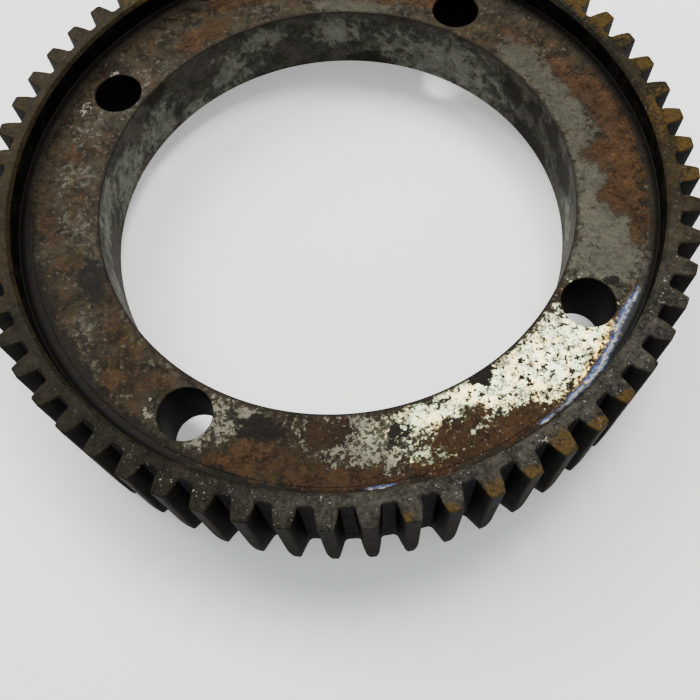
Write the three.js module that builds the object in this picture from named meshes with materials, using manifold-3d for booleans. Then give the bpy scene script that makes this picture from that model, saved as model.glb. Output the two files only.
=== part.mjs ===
// Slewing ring bearing with an externally geared outer ring, in millimetres, +Z up.
// The origin is on the bearing's axis at the underside of the outer ring, which the bearing stands on.
// A tooth of the gear is centred on +X, and the inner ring's four bolt holes lie at 45 degrees to X and Y.
import * as THREE from "three";
import { mergeVertices } from "three/addons/utils/BufferGeometryUtils.js";
import Module from "manifold-3d";

const wasm = await Module();
wasm.setup();

// ---- Driving dimensions -------------------------------------------------------------------------

const GEAR = {
  module: 4,
  teeth: 61,
  addendum: 0.8, // of the module: a stub tooth
  dedendum: 1.0, // of the module
  pressureAngle: THREE.MathUtils.degToRad(14.5),
  faceWidth: 48,
  rootFillet: 1.1,
  filletSpread: 0.8, // width of the facet that stands for a fillet, over the fillet's radius
  tipChamfer: 0.7, // at the upper end of each tooth
  wornEnd: { depth: 1.1, height: 2.6 }, // the longer chamfer at the lower end
};
GEAR.pitchR = (GEAR.module * GEAR.teeth) / 2;
GEAR.tipR = GEAR.pitchR + GEAR.addendum * GEAR.module;
GEAR.rootR = GEAR.pitchR - GEAR.dedendum * GEAR.module;

const SET_IN = 10.5; // how far the inner ring's faces lie inside the outer ring's
const RING = {
  boreR: 85.5,
  low: SET_IN,
  high: GEAR.faceWidth - SET_IN,
  edge: 0.6, // edge chamfer of both rings
  shoulderR: 109.4, // where the upper face ends, beside the seal
  shoulderDepth: 4.3,
  lowFaceR: 107, // where the lower face ends
  lowRelief: 1, // height of the relief outside the lower face
  boltCircleR: 97.25,
  boltHoleR: 9,
  boltHoles: 4,
};

const RACE = {
  z: GEAR.faceWidth / 2,
  ballCircleR: 111.6,
  ballR: 3.175,
  grooveR: 3.4,
  landGap: 1.4, // from the ball circle to each ring's land
  balls: 42,
};

const RIM = {
  wallR: 113.6, // upper recess wall of the outer ring
  wallChamfer: 1.2,
  flangeR: 107.6, // bore of the mounting flange under the inner ring
  flangeTop: 9,
  sealGroove: { low: 34.2, high: 36.6, depth: 1.4 },
  tappedCircleR: 112.5,
  tappedHoleR: 2.5,
  tappedDepth: 7.5,
  tappedHoles: 12,
};

// Heights are measured from the inner ring's upper face.
const UPPER_SEAL = {
  lipTop: -0.2,
  lipFoot: -1.2,
  lipSlope: 1.4, // how far the lip's underside runs outward down to the heel
  collarTop: 2.6,
  collarFoot: 0.4,
  collarWidth: 1.5,
};

const LOWER_SEAL = {
  inner: 108.6,
  outer: 110.4,
  heelHeight: 0.9,
  lipWidth: 0.9,
};

const CAGE = {
  segments: 6,
  gap: THREE.MathUtils.degToRad(1.6), // between the ends of two segments
  thickness: 1.7,
  height: 9.6,
  pocketR: 3.55,
};

const PLUG = {
  angle: THREE.MathUtils.degToRad(270),
  r: 3.75,
  extractorR: 1.65,
  extractorDepth: 5,
  pinR: 1.5, // at the small end, which points up
  pinCircleR: 95,
  pinLow: 10.9,
  pinHigh: 31,
  pinTaper: 1 / 50,
};

// The nipples are of the flush kind: their heads lie in counterbores in the bore's wall.
const NIPPLE = {
  offset: THREE.MathUtils.degToRad(20), // to each side of the loading plug
  counterboreR: 5,
  counterboreDepth: 4.4,
  seatR: 3,
  seatDepth: 11,
  bodyR: 2.7,
  headR: 4.4, // to the corners of its hexagon
  headHeight: 3,
  channelR: 1.25,
  cupR: 2.1,
  cupDepth: 1.8,
  throatR: 0.6,
};

const FIT = 0.3; // gap between pieces that touch
const PAST = 2; // how far a cutter runs past the surface it cuts through
const MERGE = 1e-3; // corners nearer to each other than this are one
const FACETS = { ring: 72, bolt: 24, plug: 16, fitting: 12, small: 8, hexagon: 6 };

// ---- Materials ----------------------------------------------------------------------------------

const steel = (color, roughness, metalness) =>
  new THREE.MeshStandardMaterial({ color, roughness, metalness });
const MATERIAL = {
  gearSteel: steel(0x4a4238, 0.6, 0.6),
  ringSteel: steel(0x6e6459, 0.45, 0.7),
  ballSteel: steel(0xc8cacc, 0.15, 1.0),
  plugSteel: steel(0x8b8780, 0.4, 0.8),
  cageNylon: steel(0xcfc4a4, 0.6, 0.0),
  sealRubber: steel(0x16181a, 0.55, 0.0),
  brass: steel(0xb08d4a, 0.35, 0.9),
};

// ---- Solids -------------------------------------------------------------------------------------

function solid(geometry) {
  const bare = geometry.index ? geometry.toNonIndexed() : geometry.clone();
  bare.deleteAttribute("normal");
  bare.deleteAttribute("uv");
  const merged = mergeVertices(bare, MERGE);
  return new wasm.Manifold(
    new wasm.Mesh({
      numProp: 3,
      vertProperties: merged.attributes.position.array,
      triVerts: new Uint32Array(merged.index.array),
    }),
  );
}

function mesh(name, body, material) {
  const made = body.getMesh();
  const geometry = new THREE.BufferGeometry();
  geometry.setAttribute("position", new THREE.BufferAttribute(made.vertProperties, 3));
  geometry.setIndex(new THREE.BufferAttribute(made.triVerts, 1));
  geometry.computeVertexNormals();
  const piece = new THREE.Mesh(geometry, material);
  piece.name = name;
  return piece;
}

// A solid turned about Z from points [radius, height], in anticlockwise order.
function turned(points, facets = FACETS.ring) {
  const outline = [...points, points[0]].map(([r, z]) => new THREE.Vector2(r, z));
  const lathe = new THREE.LatheGeometry(outline, facets);
  return solid(lathe.rotateX(Math.PI / 2));
}

// A rod from one radius to another along a spoke of the ring at height z. Its own radius may change.
function radialRod(start, end, rStart, rEnd, angle, z, facets) {
  const rod = new THREE.CylinderGeometry(rEnd, rStart, end - start, facets);
  rod.rotateZ(-Math.PI / 2);
  rod.translate((start + end) / 2, 0, 0);
  rod.rotateZ(angle);
  rod.translate(0, 0, z);
  return solid(rod);
}

// An upright rod from low to high at a radius and angle. Its own radius may change.
function uprightRod(low, high, rLow, rHigh, circleR, angle, facets) {
  const rod = new THREE.CylinderGeometry(rHigh, rLow, high - low, facets);
  rod.rotateX(Math.PI / 2);
  rod.translate(circleR * Math.cos(angle), circleR * Math.sin(angle), (low + high) / 2);
  return solid(rod);
}

// Points of the ball groove's arc, from the lower land to the upper one.
// side is -1 on the inner ring and 1 on the outer ring.
function grooveArc(side, steps = 4) {
  const open = Math.acos(RACE.landGap / RACE.grooveR);
  return Array.from({ length: steps + 1 }, (_, i) => {
    const a = -open + (2 * open * i) / steps;
    return [
      RACE.ballCircleR + side * RACE.grooveR * Math.cos(a),
      RACE.z + RACE.grooveR * Math.sin(a),
    ];
  });
}

// ---- Inner ring ---------------------------------------------------------------------------------

function innerBlank() {
  const { boreR, low, high, edge, shoulderR, shoulderDepth, lowFaceR, lowRelief } = RING;
  const landR = RACE.ballCircleR - RACE.landGap;
  return turned([
    [boreR, high - edge],
    [boreR, low + edge],
    [boreR + edge, low],
    [lowFaceR, low],
    [lowFaceR, low + lowRelief],
    [landR, low + lowRelief],
    ...grooveArc(-1),
    [landR, high - shoulderDepth],
    [shoulderR, high - shoulderDepth],
    [shoulderR, high],
    [boreR + edge, high],
  ]);
}

function pinRod(clearance) {
  const { pinLow, pinHigh, pinR, pinTaper, pinCircleR, angle } = PLUG;
  const low = clearance ? RING.low - PAST : pinLow;
  const high = pinHigh + clearance;
  const lowR = pinR + ((high - low) * pinTaper) / 2;
  return uprightRod(low, high, lowR + clearance, pinR + clearance, pinCircleR, angle, FACETS.fitting);
}

function innerRing() {
  let ring = innerBlank();
  const { low, high, boltHoles, boltHoleR, boltCircleR } = RING;
  for (let i = 0; i < boltHoles; i++) {
    const angle = (2 * Math.PI * (i + 0.5)) / boltHoles;
    const [start, end] = [low - PAST, high + PAST];
    ring = ring.subtract(
      uprightRod(start, end, boltHoleR, boltHoleR, boltCircleR, angle, FACETS.bolt),
    );
  }
  const plugHoleR = PLUG.r + FIT;
  const mouth = RING.boreR - PAST;
  const out = RACE.ballCircleR;
  ring = ring.subtract(
    radialRod(mouth, out, plugHoleR, plugHoleR, PLUG.angle, RACE.z, FACETS.plug),
  );
  ring = ring.subtract(pinRod(FIT));
  for (const side of [-1, 1]) {
    const angle = PLUG.angle + side * NIPPLE.offset;
    const { counterboreR, counterboreDepth, seatR, seatDepth, channelR } = NIPPLE;
    const headEnd = RING.boreR + counterboreDepth;
    const seatEnd = RING.boreR + seatDepth;
    ring = ring
      .subtract(
        radialRod(mouth, headEnd, counterboreR, counterboreR, angle, RACE.z, FACETS.plug),
      )
      .subtract(radialRod(mouth, seatEnd, seatR, seatR, angle, RACE.z, FACETS.fitting))
      .subtract(radialRod(mouth, out, channelR, channelR, angle, RACE.z, FACETS.small));
  }
  return ring;
}

// The plug fills the hole that the balls are loaded through, and carries the groove across it.
function loadingPlug() {
  const { r, angle, extractorR, extractorDepth } = PLUG;
  const start = RING.boreR - PAST;
  const extractorEnd = RING.boreR + extractorDepth;
  return radialRod(start, RACE.ballCircleR, r, r, angle, RACE.z, FACETS.plug)
    .intersect(innerBlank())
    .subtract(pinRod(FIT))
    .subtract(
      radialRod(start, extractorEnd, extractorR, extractorR, angle, RACE.z, FACETS.fitting),
    );
}

function greaseNipple(angle) {
  const { counterboreDepth, seatDepth, bodyR, headR, headHeight } = NIPPLE;
  const { cupR, cupDepth, throatR } = NIPPLE;
  const bodyEnd = RING.boreR + seatDepth - FIT;
  const headBack = RING.boreR + counterboreDepth - FIT;
  const face = headBack - headHeight;
  const z = RACE.z;
  const { fitting, hexagon } = FACETS;
  return radialRod(face + cupDepth, bodyEnd, bodyR, bodyR, angle, z, fitting)
    .add(radialRod(face, headBack, headR, headR, angle, z, hexagon))
    .subtract(radialRod(face - FIT, face + cupDepth, cupR, throatR, angle, z, fitting))
    .subtract(radialRod(face, bodyEnd + PAST, throatR, throatR, angle, z, fitting));
}

// ---- Geared outer ring --------------------------------------------------------------------------

const involute = (angle) => Math.tan(angle) - angle;

// Half the angle that a tooth takes up at a radius. Inside the base circle the flank runs straight inward.
function toothHalfAngle(r) {
  const baseR = GEAR.pitchR * Math.cos(GEAR.pressureAngle);
  return (
    Math.PI / (2 * GEAR.teeth) +
    involute(GEAR.pressureAngle) -
    involute(Math.acos(Math.min(1, baseR / r)))
  );
}

function gearOutline() {
  const { teeth, tipR, rootR, rootFillet, filletSpread } = GEAR;
  const flank = [rootR + rootFillet, tipR].map((r) => [r, toothHalfAngle(r)]);
  const foot = [rootR, toothHalfAngle(rootR) + (filletSpread * rootFillet) / rootR];
  const side = [foot, ...flank];
  const points = [];
  for (let i = 0; i < teeth; i++) {
    const centre = (2 * Math.PI * i) / teeth;
    const low = side.map(([r, half]) => [r, centre - half]);
    const high = side.map(([r, half]) => [r, centre + half]).reverse();
    for (const [r, a] of [...low, ...high])
      points.push(new THREE.Vector2(r * Math.cos(a), r * Math.sin(a)));
  }
  return new THREE.Shape(points);
}

// The turned space inside the outer ring: flange bore, land, ball groove, seal groove and recess wall.
function outerCavity() {
  const { wallR, wallChamfer, flangeR, flangeTop, sealGroove } = RIM;
  const landR = RACE.ballCircleR + RACE.landGap;
  const top = GEAR.faceWidth;
  return turned([
    [0, -PAST],
    [flangeR + RING.edge + PAST, -PAST],
    [flangeR, RING.edge],
    [flangeR, flangeTop],
    [landR, flangeTop],
    ...grooveArc(1),
    [landR, sealGroove.low],
    [wallR + sealGroove.depth, sealGroove.low],
    [wallR + sealGroove.depth, sealGroove.high],
    [wallR, sealGroove.high],
    [wallR, top - wallChamfer],
    [wallR + wallChamfer + PAST, top + PAST],
    [0, top + PAST],
  ]);
}

// The gear is kept inside this turned shape, which chamfers both ends of its tooth tips.
// It has one facet to a tooth, square to the tooth's middle.
function tipEnvelope() {
  const { teeth, tipR, tipChamfer, wornEnd, faceWidth } = GEAR;
  const clear = tipR + PAST;
  const shape = turned(
    [
      [0, 0],
      [tipR - wornEnd.depth, 0],
      [clear, ((wornEnd.depth + PAST) * wornEnd.height) / wornEnd.depth],
      [clear, faceWidth - tipChamfer - PAST],
      [tipR - tipChamfer, faceWidth],
      [0, faceWidth],
    ],
    teeth,
  );
  const firstCorner = -90; // where a turned shape's first corner lies, in degrees from +X
  return shape.rotate([0, 0, 180 / teeth - firstCorner]);
}

function gearedOuterRing() {
  const blank = new THREE.ExtrudeGeometry(gearOutline(), {
    depth: GEAR.faceWidth,
    bevelEnabled: false,
  });
  let ring = solid(blank).intersect(tipEnvelope()).subtract(outerCavity());
  const { tappedHoles, tappedHoleR: r, tappedDepth, tappedCircleR } = RIM;
  for (let i = 0; i < tappedHoles; i++) {
    const angle = (2 * Math.PI * (i + 0.5)) / tappedHoles;
    ring = ring.subtract(
      uprightRod(-PAST, tappedDepth, r, r, tappedCircleR, angle, FACETS.small),
    );
  }
  return ring;
}

// ---- Seals --------------------------------------------------------------------------------------

// Its heel sits in the outer ring's groove and its lip wipes the inner ring's shoulder.
function upperSeal() {
  const { lipTop, lipFoot, lipSlope, collarTop, collarFoot, collarWidth } = UPPER_SEAL;
  const { low, high, depth } = RIM.sealGroove;
  const lipR = RING.shoulderR + FIT;
  const outR = RIM.wallR - FIT;
  const heelR = outR + depth;
  return turned([
    [lipR, RING.high + lipFoot],
    [lipR + lipSlope, low + FIT],
    [heelR, low + FIT],
    [heelR, high - FIT],
    [outR, high - FIT],
    [outR, RING.high + collarTop],
    [outR - collarWidth, RING.high + collarFoot],
    [lipR, RING.high + lipTop],
  ]);
}

// It stands on the flange, and its narrower lip wipes the inner ring's underside.
function lowerSeal() {
  const { inner, outer, heelHeight, lipWidth } = LOWER_SEAL;
  const foot = RIM.flangeTop + FIT;
  const lip = RING.low + RING.lowRelief - FIT;
  return turned([
    [inner, foot],
    [outer, foot],
    [outer, foot + heelHeight],
    [inner + lipWidth, lip],
    [inner, lip],
  ]);
}

// ---- Balls and cage -----------------------------------------------------------------------------

const ballAngle = (i) => (2 * Math.PI * (i + 0.5)) / RACE.balls;

function ball(i) {
  const shape = new THREE.IcosahedronGeometry(RACE.ballR, 1);
  const angle = ballAngle(i);
  shape.rotateZ(angle);
  shape.translate(
    RACE.ballCircleR * Math.cos(angle),
    RACE.ballCircleR * Math.sin(angle),
    RACE.z,
  );
  return solid(shape);
}

function cageSegment(index) {
  const { segments, gap, thickness, height, pocketR } = CAGE;
  const perSegment = RACE.balls / segments;
  const sweep = (2 * Math.PI) / segments - gap;
  const start = (2 * Math.PI * index) / segments + gap / 2;
  const [inR, outR] = [-1, 1].map((s) => RACE.ballCircleR + (s * thickness) / 2);
  const arc = new THREE.Shape();
  arc.absarc(0, 0, outR, start, start + sweep, false);
  arc.absarc(0, 0, inR, start + sweep, start, true);
  const strip = new THREE.ExtrudeGeometry(arc, {
    depth: height,
    bevelEnabled: false,
    curveSegments: perSegment,
  });
  strip.translate(0, 0, RACE.z - height / 2);
  let segment = solid(strip);
  for (let i = 0; i < perSegment; i++) {
    const angle = ballAngle(index * perSegment + i);
    segment = segment.subtract(
      radialRod(inR - PAST, outR + PAST, pocketR, pocketR, angle, RACE.z, FACETS.small),
    );
  }
  return segment;
}

// ---- The bearing --------------------------------------------------------------------------------

const bearing = new THREE.Group();
bearing.add(
  mesh("geared_outer_ring", gearedOuterRing(), MATERIAL.gearSteel),
  mesh("inner_ring", innerRing(), MATERIAL.ringSteel),
  mesh("upper_seal", upperSeal(), MATERIAL.sealRubber),
  mesh("lower_seal", lowerSeal(), MATERIAL.sealRubber),
  mesh("loading_plug", loadingPlug(), MATERIAL.plugSteel),
  mesh("plug_taper_pin", pinRod(0), MATERIAL.plugSteel),
  mesh("grease_nipple_left", greaseNipple(PLUG.angle - NIPPLE.offset), MATERIAL.brass),
  mesh("grease_nipple_right", greaseNipple(PLUG.angle + NIPPLE.offset), MATERIAL.brass),
);
for (let i = 0; i < CAGE.segments; i++)
  bearing.add(mesh(`cage_segment_${i + 1}`, cageSegment(i), MATERIAL.cageNylon));
for (let i = 0; i < RACE.balls; i++) {
  const number = String(i + 1).padStart(2, "0");
  bearing.add(mesh(`ball_${number}`, ball(i), MATERIAL.ballSteel));
}

export default bearing;
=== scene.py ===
import math
import random

import bmesh
import bpy
from mathutils import Matrix, Vector


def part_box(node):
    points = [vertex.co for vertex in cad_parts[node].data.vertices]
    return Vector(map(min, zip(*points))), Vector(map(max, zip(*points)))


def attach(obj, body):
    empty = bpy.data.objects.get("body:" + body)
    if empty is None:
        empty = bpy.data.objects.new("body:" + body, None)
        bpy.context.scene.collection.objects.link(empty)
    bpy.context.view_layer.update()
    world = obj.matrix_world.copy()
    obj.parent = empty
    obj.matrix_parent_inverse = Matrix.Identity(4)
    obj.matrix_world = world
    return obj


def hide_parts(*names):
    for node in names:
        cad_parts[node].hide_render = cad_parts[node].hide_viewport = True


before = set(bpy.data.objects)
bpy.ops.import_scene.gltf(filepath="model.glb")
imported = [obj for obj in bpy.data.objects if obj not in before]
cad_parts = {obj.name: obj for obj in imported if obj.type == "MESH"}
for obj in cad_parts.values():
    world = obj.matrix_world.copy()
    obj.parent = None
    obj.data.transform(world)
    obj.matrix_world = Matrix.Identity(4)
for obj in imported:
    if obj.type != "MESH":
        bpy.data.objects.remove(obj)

# A worn, oily slewing ring bearing. Lengths are in millimetres until MM turns them into metres.
# The frame is the CAD's: the axis of rotation is Z, and the bearing stands on z = 0.

MM = 0.001
TAU = 2 * math.pi
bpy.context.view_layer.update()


def box_mm(node):
    """A CAD node's lowest and highest corners, in millimetres."""
    return [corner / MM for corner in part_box(node)]


# ---- Dimensions ---------------------------------------------------------------------------------

FACE_WIDTH = box_mm("geared_outer_ring")[1].z
RING_LOW = box_mm("inner_ring")[0].z
RING_HIGH = box_mm("inner_ring")[1].z
RACE_Z = (RING_LOW + RING_HIGH) / 2

# The outer ring's teeth.
MODULE = 4
TEETH = 61
PRESSURE_ANGLE = math.radians(14.5)
PITCH_R = MODULE * TEETH / 2
TIP_R = PITCH_R + 0.8 * MODULE
ROOT_R = PITCH_R - MODULE
ROOT_FILLET = 1.25
GEAR_EDGE = 0.5

# The teeth's lower ends are worn round, up to WORN_HEIGHT. At the bottom, a tip is narrower by the share
# WORN_NARROWING and shorter by WORN_DEPTH, and the whole outline is set in by WORN_INSET.
WORN_HEIGHT = 15
WORN_NARROWING = 0.82
WORN_DEPTH = 0.6
WORN_INSET = 0.3
WORN_STEPS = 7

# The balls and their grooves. The lands beside a groove are LAND_GAP from the ball circle.
BALLS = 42
BALL_R = 3.175
BALL_CIRCLE_R = 111.6
GROOVE_R = 3.4
LAND_GAP = 1.4

# The inner ring.
BORE_R = 85.5
RING_EDGE = 0.7
SHOULDER_R = 109.4
SHOULDER_DEPTH = 4.3
UNDERSIDE_R = 107
UNDERSIDE_STEP = 1
BOLT_ANGLES = [math.pi / 4 + i * math.pi / 2 for i in range(4)]
BOLT_CIRCLE_R = 97.25
BOLT_HOLE_R = 9.0

# The outer ring's inside, with a seal groove given as (low, high, depth), and the lower seal.
WALL_R = 113.6
WALL_CHAMFER = 1.2
FLANGE_R = 107.6
FLANGE_TOP = 9.0
SEAL_GROOVE = (34.2, 36.6, 1.4)
TAPPED = {"count": 12, "circle": 112.5, "r": 2.5, "depth": 7.5}
LOWER_SEAL = {"inner": 108.6, "outer": 110.4, "lip": 109.4, "heel": 0.9}

# The loading plug, its taper pin and the grease nipples. Radii in pairs are at the lower and upper end.
PLUG_ANGLE = math.radians(270)
PLUG_R = 3.75
PIN_CIRCLE_R = 95
PIN_R = (1.7, 1.5)
PIN_HOLE_R = (1.75, 1.5)
PIN_HOLE_TOP = 31.1
NIPPLE_OFFSET = math.radians(20)
NIPPLE_SEAT = {"r": 5, "depth": 4.4}
NIPPLE_THREAD = {"r": 2.8, "depth": 11, "cone": 0.8}
GREASE_DUCT_R = 1.25

# The cage, whose section is given as (half thickness, half height).
CAGE_SEGMENTS = 6
CAGE_GAP = math.radians(1.6)
CAGE_HALF = (0.85, 4.8)
POCKET_R = 3.4

# The room between two pieces that fit together, and how far a cutter starts outside what it cuts.
CLEARANCE = 0.06
PAST = 2

# Facets in a full turn, and the angle above which an edge between two faces stays sharp.
RING_FACETS = 288
HOLE_FACETS = 48
SMALL_FACETS = 32
SHARP = math.radians(38)

# ---- Mesh helpers -------------------------------------------------------------------------------


def rounded(corners, steps=4, closed=True):
    """A polyline whose corners (a, b, radius) are rounded off by arcs."""
    points = []
    count = len(corners)
    for i, (a, b, radius) in enumerate(corners):
        here = Vector((a, b))
        if radius <= 0 or (not closed and i in (0, count - 1)):
            points.append(here)
            continue
        before = Vector(corners[i - 1][:2]) - here
        after = Vector(corners[(i + 1) % count][:2]) - here
        half = before.angle(after) / 2
        reach = radius / math.tan(half)
        reach = min(reach, 0.49 * before.length, 0.49 * after.length)
        radius = reach * math.tan(half)
        start = here + before.normalized() * reach
        end = here + after.normalized() * reach
        inward = (before.normalized() + after.normalized()).normalized()
        centre = here + inward * (radius / math.sin(half))
        for k in range(steps + 1):
            t = k / steps
            chord = start.lerp(end, t) - centre
            points.append(centre + chord.normalized() * radius)
    return [(p.x, p.y) for p in points]


def mesh_object(name, verts, faces, materials=()):
    """A closed mesh from points in millimetres."""
    mesh = bpy.data.meshes.new(name)
    mesh.from_pydata([Vector(v) * MM for v in verts], [], faces)
    obj = bpy.data.objects.new(name, mesh)
    bpy.context.scene.collection.objects.link(obj)
    bm = bmesh.new()
    bm.from_mesh(mesh)
    bmesh.ops.recalc_face_normals(bm, faces=bm.faces)
    bm.to_mesh(mesh)
    bm.free()
    finish_surface(obj, materials)
    return obj


def finish_surface(obj, materials, pick=None):
    """Gives each face the material that pick chooses, and smooth shading except across sharp edges."""
    mesh = obj.data
    mesh.materials.clear()
    for material in materials:
        mesh.materials.append(material)
    bm = bmesh.new()
    bm.from_mesh(mesh)
    for edge in bm.edges:
        edge.smooth = len(edge.link_faces) == 2 and edge.calc_face_angle(0) < SHARP
    for face in bm.faces:
        face.smooth = True
        face.material_index = pick(face) if pick else 0
    bm.to_mesh(mesh)
    bm.free()
    if "weighted" not in obj.modifiers:
        weighted = obj.modifiers.new("weighted", "WEIGHTED_NORMAL")
        weighted.keep_sharp = True
        weighted.weight = 100


def turned(name, profile, segments=RING_FACETS, start=0.0, sweep=TAU, **look):
    """The solid that a closed profile of (radius, height) sweeps round Z, whole or in part."""
    whole = sweep > TAU - 1e-6
    rings = segments if whole else segments + 1
    count = len(profile)
    verts = []
    for i in range(rings):
        angle = start + sweep * i / segments
        for r, z in profile:
            verts.append((r * math.cos(angle), r * math.sin(angle), z))
    faces = []
    for i in range(segments):
        j = (i + 1) % rings
        for k in range(count):
            m = (k + 1) % count
            faces.append((i * count + k, j * count + k, j * count + m, i * count + m))
    if not whole:
        faces.append(tuple(range(count)))
        faces.append(tuple(segments * count + k for k in range(count)))
    return mesh_object(name, verts, faces, **look)


def spun(name, profile, segments, place, **look):
    """A solid of revolution from an open profile of (radius, length along the axis) that ends on the axis."""
    inner = profile[1:-1]
    verts = [(0, 0, profile[0][1]), (0, 0, profile[-1][1])]
    for i in range(segments):
        angle = TAU * i / segments
        for r, z in inner:
            verts.append((r * math.cos(angle), r * math.sin(angle), z))
    count = len(inner)
    faces = []
    for i in range(segments):
        j = (i + 1) % segments
        a, b = 2 + i * count, 2 + j * count
        faces.append((0, b, a))
        faces.append((1, a + count - 1, b + count - 1))
        for k in range(count - 1):
            faces.append((a + k, b + k, b + k + 1, a + k + 1))
    verts = [place @ Vector(v) for v in verts]
    return mesh_object(name, verts, faces, **look)


def radial_place(angle, z):
    """Turns a spun solid's axis from Z to the radius at an angle, at height z."""
    turned_round = Matrix.Translation((0, 0, z)) @ Matrix.Rotation(angle, 4, "Z")
    return turned_round @ Matrix.Rotation(math.pi / 2, 4, "Y")


def upright_place(radius, angle):
    """Moves a spun solid out to a radius at an angle, its axis still along Z."""
    return Matrix.Translation((radius * math.cos(angle), radius * math.sin(angle), 0))


def combine(obj, others, operation="DIFFERENCE"):
    """Cuts, joins or intersects a solid with others, which are used up."""
    normals = obj.modifiers.get("weighted")
    if normals:
        obj.modifiers.remove(normals)
    for other in others:
        modifier = obj.modifiers.new("combine", "BOOLEAN")
        modifier.operation = operation
        modifier.object = other
        modifier.solver = "MANIFOLD"
    bpy.context.view_layer.update()
    evaluated = obj.evaluated_get(bpy.context.evaluated_depsgraph_get())
    result = bpy.data.meshes.new_from_object(evaluated)
    result.name = obj.name
    obj.modifiers.clear()
    old, obj.data = obj.data, result
    bpy.data.meshes.remove(old)
    for other in others:
        mesh = other.data
        bpy.data.objects.remove(other)
        bpy.data.meshes.remove(mesh)


# ---- Material helpers ---------------------------------------------------------------------------


class Surface:
    """A node material, with a short call for each kind of node used here.

    Its coordinates are millimetres in the CAD frame.
    """

    SOCKETS = {
        "colour": "Base Color",
        "rough": "Roughness",
        "metal": "Metallic",
        "specular": "Specular IOR Level",
        "normal": "Normal",
    }

    def __init__(self, name):
        self.material = bpy.data.materials.new(name)
        self.material.use_nodes = True
        self.tree = self.material.node_tree
        self.tree.nodes.clear()
        self.shader = self.add("BsdfPrincipled")
        output = self.add("OutputMaterial")
        self.tree.links.new(self.shader.outputs[0], output.inputs[0])
        object_space = self.add("TexCoord").outputs["Object"]
        self.at = self.add("VectorMath", {0: object_space, "Scale": 1 / MM}, operation="SCALE").outputs[0]
        self.z = self.split(self.at)[2]

    def add(self, kind, inputs=None, **settings):
        """A node with its settings; each input is a value or another node's socket."""
        node = self.tree.nodes.new("ShaderNode" + kind)
        for key, value in settings.items():
            setattr(node, key, value)
        for key, value in (inputs or {}).items():
            if isinstance(value, bpy.types.NodeSocket):
                self.tree.links.new(value, node.inputs[key])
            else:
                node.inputs[key].default_value = value
        return node

    def split(self, vector):
        return self.add("SeparateXYZ", {0: vector}).outputs

    def math(self, operation, a, b=0.0, c=0.0):
        return self.add("Math", {0: a, 1: b, 2: c}, operation=operation).outputs[0]

    def noise(self, size, detail=5.0, rough=0.6, at=None, shift=0.0, warp=0.0):
        """Noise from 0 to 1 with features of about the given size in millimetres."""
        vector = self.add("VectorMath", {0: at or self.at, 1: (shift, shift * 0.7, shift * 1.3)}).outputs[0]
        inputs = {"Vector": vector, "Scale": 1 / size, "Detail": detail}
        inputs |= {"Roughness": rough, "Distortion": warp}
        return self.add("TexNoise", inputs).outputs["Fac"]

    def step(self, value, low, high):
        """0 below low, 1 above high, smooth between; falls instead if low is above high."""
        inputs = {"Value": value, "From Min": low, "From Max": high}
        return self.add("MapRange", inputs, interpolation_type="SMOOTHSTEP").outputs[0]

    def mix(self, factor, a, b):
        inputs = {0: factor, 6: as_colour(a), 7: as_colour(b)}
        return self.add("Mix", inputs, data_type="RGBA").outputs[2]

    def blend(self, factor, a, b):
        return self.add("Mix", {0: factor, 2: a, 3: b}, data_type="FLOAT").outputs[0]

    def times(self, *values):
        result = values[0]
        for value in values[1:]:
            result = self.math("MULTIPLY", result, value)
        return result

    def polar(self, coarse=(9, 7), fine=(2.2, 2.6)):
        """Angle in radians and radius, both made ragged by noise, each (size, amount) in millimetres."""
        ragged = self.at
        for size, amount in (coarse, fine):
            inputs = {"Vector": self.at, "Scale": 1 / size, "Detail": 4.0, "Roughness": 0.65}
            noise = self.add("TexNoise", inputs)
            centred = self.add("VectorMath", {0: noise.outputs["Color"], 1: (-0.5, -0.5, -0.5)}).outputs[0]
            moved = self.add("VectorMath", {0: centred, "Scale": 2.0 * amount}, operation="SCALE").outputs[0]
            ragged = self.add("VectorMath", {0: ragged, 1: moved}).outputs[0]
        return self.exact_polar(ragged)

    def exact_polar(self, at=None):
        """Angle in radians and radius in millimetres."""
        x, y, _ = self.split(at or self.at)
        radius = self.math("SQRT", self.math("MULTIPLY_ADD", x, x, self.math("MULTIPLY", y, y)))
        return self.math("ARCTAN2", y, x), radius

    def patches(self, polar, spots, soft=0.35, wall_r=None):
        """1 inside any spot, falling softly to 0 outside.

        On a wall of radius wall_r, the spots' radii are heights.
        """
        angle, radius = polar
        nearest = None
        for degrees, spot_r, half_length, half_width in spots:
            turn = self.math("SUBTRACT", angle, math.radians(degrees))
            turn = self.math("WRAP", turn, math.pi, -math.pi)
            along = self.math("MULTIPLY", turn, (wall_r or spot_r) / half_length)
            across = self.math("MULTIPLY_ADD", radius, 1 / half_width, -spot_r / half_width)
            distance = self.math("MULTIPLY_ADD", along, along, self.math("MULTIPLY", across, across))
            nearest = distance if nearest is None else self.math("MINIMUM", nearest, distance)
        return self.step(self.math("SQRT", nearest), 1 + soft, 1 - soft)

    def scatter(self, density, field, reach=0.32, edge=0.035):
        """Ragged patches of a noise field, from none at density 0 to nearly everywhere at density 1."""
        level = 0.70
        raised = self.math("MULTIPLY_ADD", density, reach, field)
        return self.step(raised, level - edge, level + edge)

    def ramp(self, value, stops):
        """Colour and strength along a value from 0 to 1, as (value, (red, green, blue, strength))."""
        node = self.add("ValToRGB", {0: value})
        elements = node.color_ramp.elements
        while len(elements) < len(stops):
            elements.new(1.0)
        for element, (at, colour) in zip(elements, stops):
            element.position = at
            element.color = colour
        return node

    def bump(self, height, strength, depth, normal=None):
        """Relief of the given depth in millimetres."""
        inputs = {"Height": height, "Strength": strength, "Distance": depth * MM}
        if normal:
            inputs["Normal"] = normal
        return self.add("Bump", inputs).outputs[0]

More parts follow.
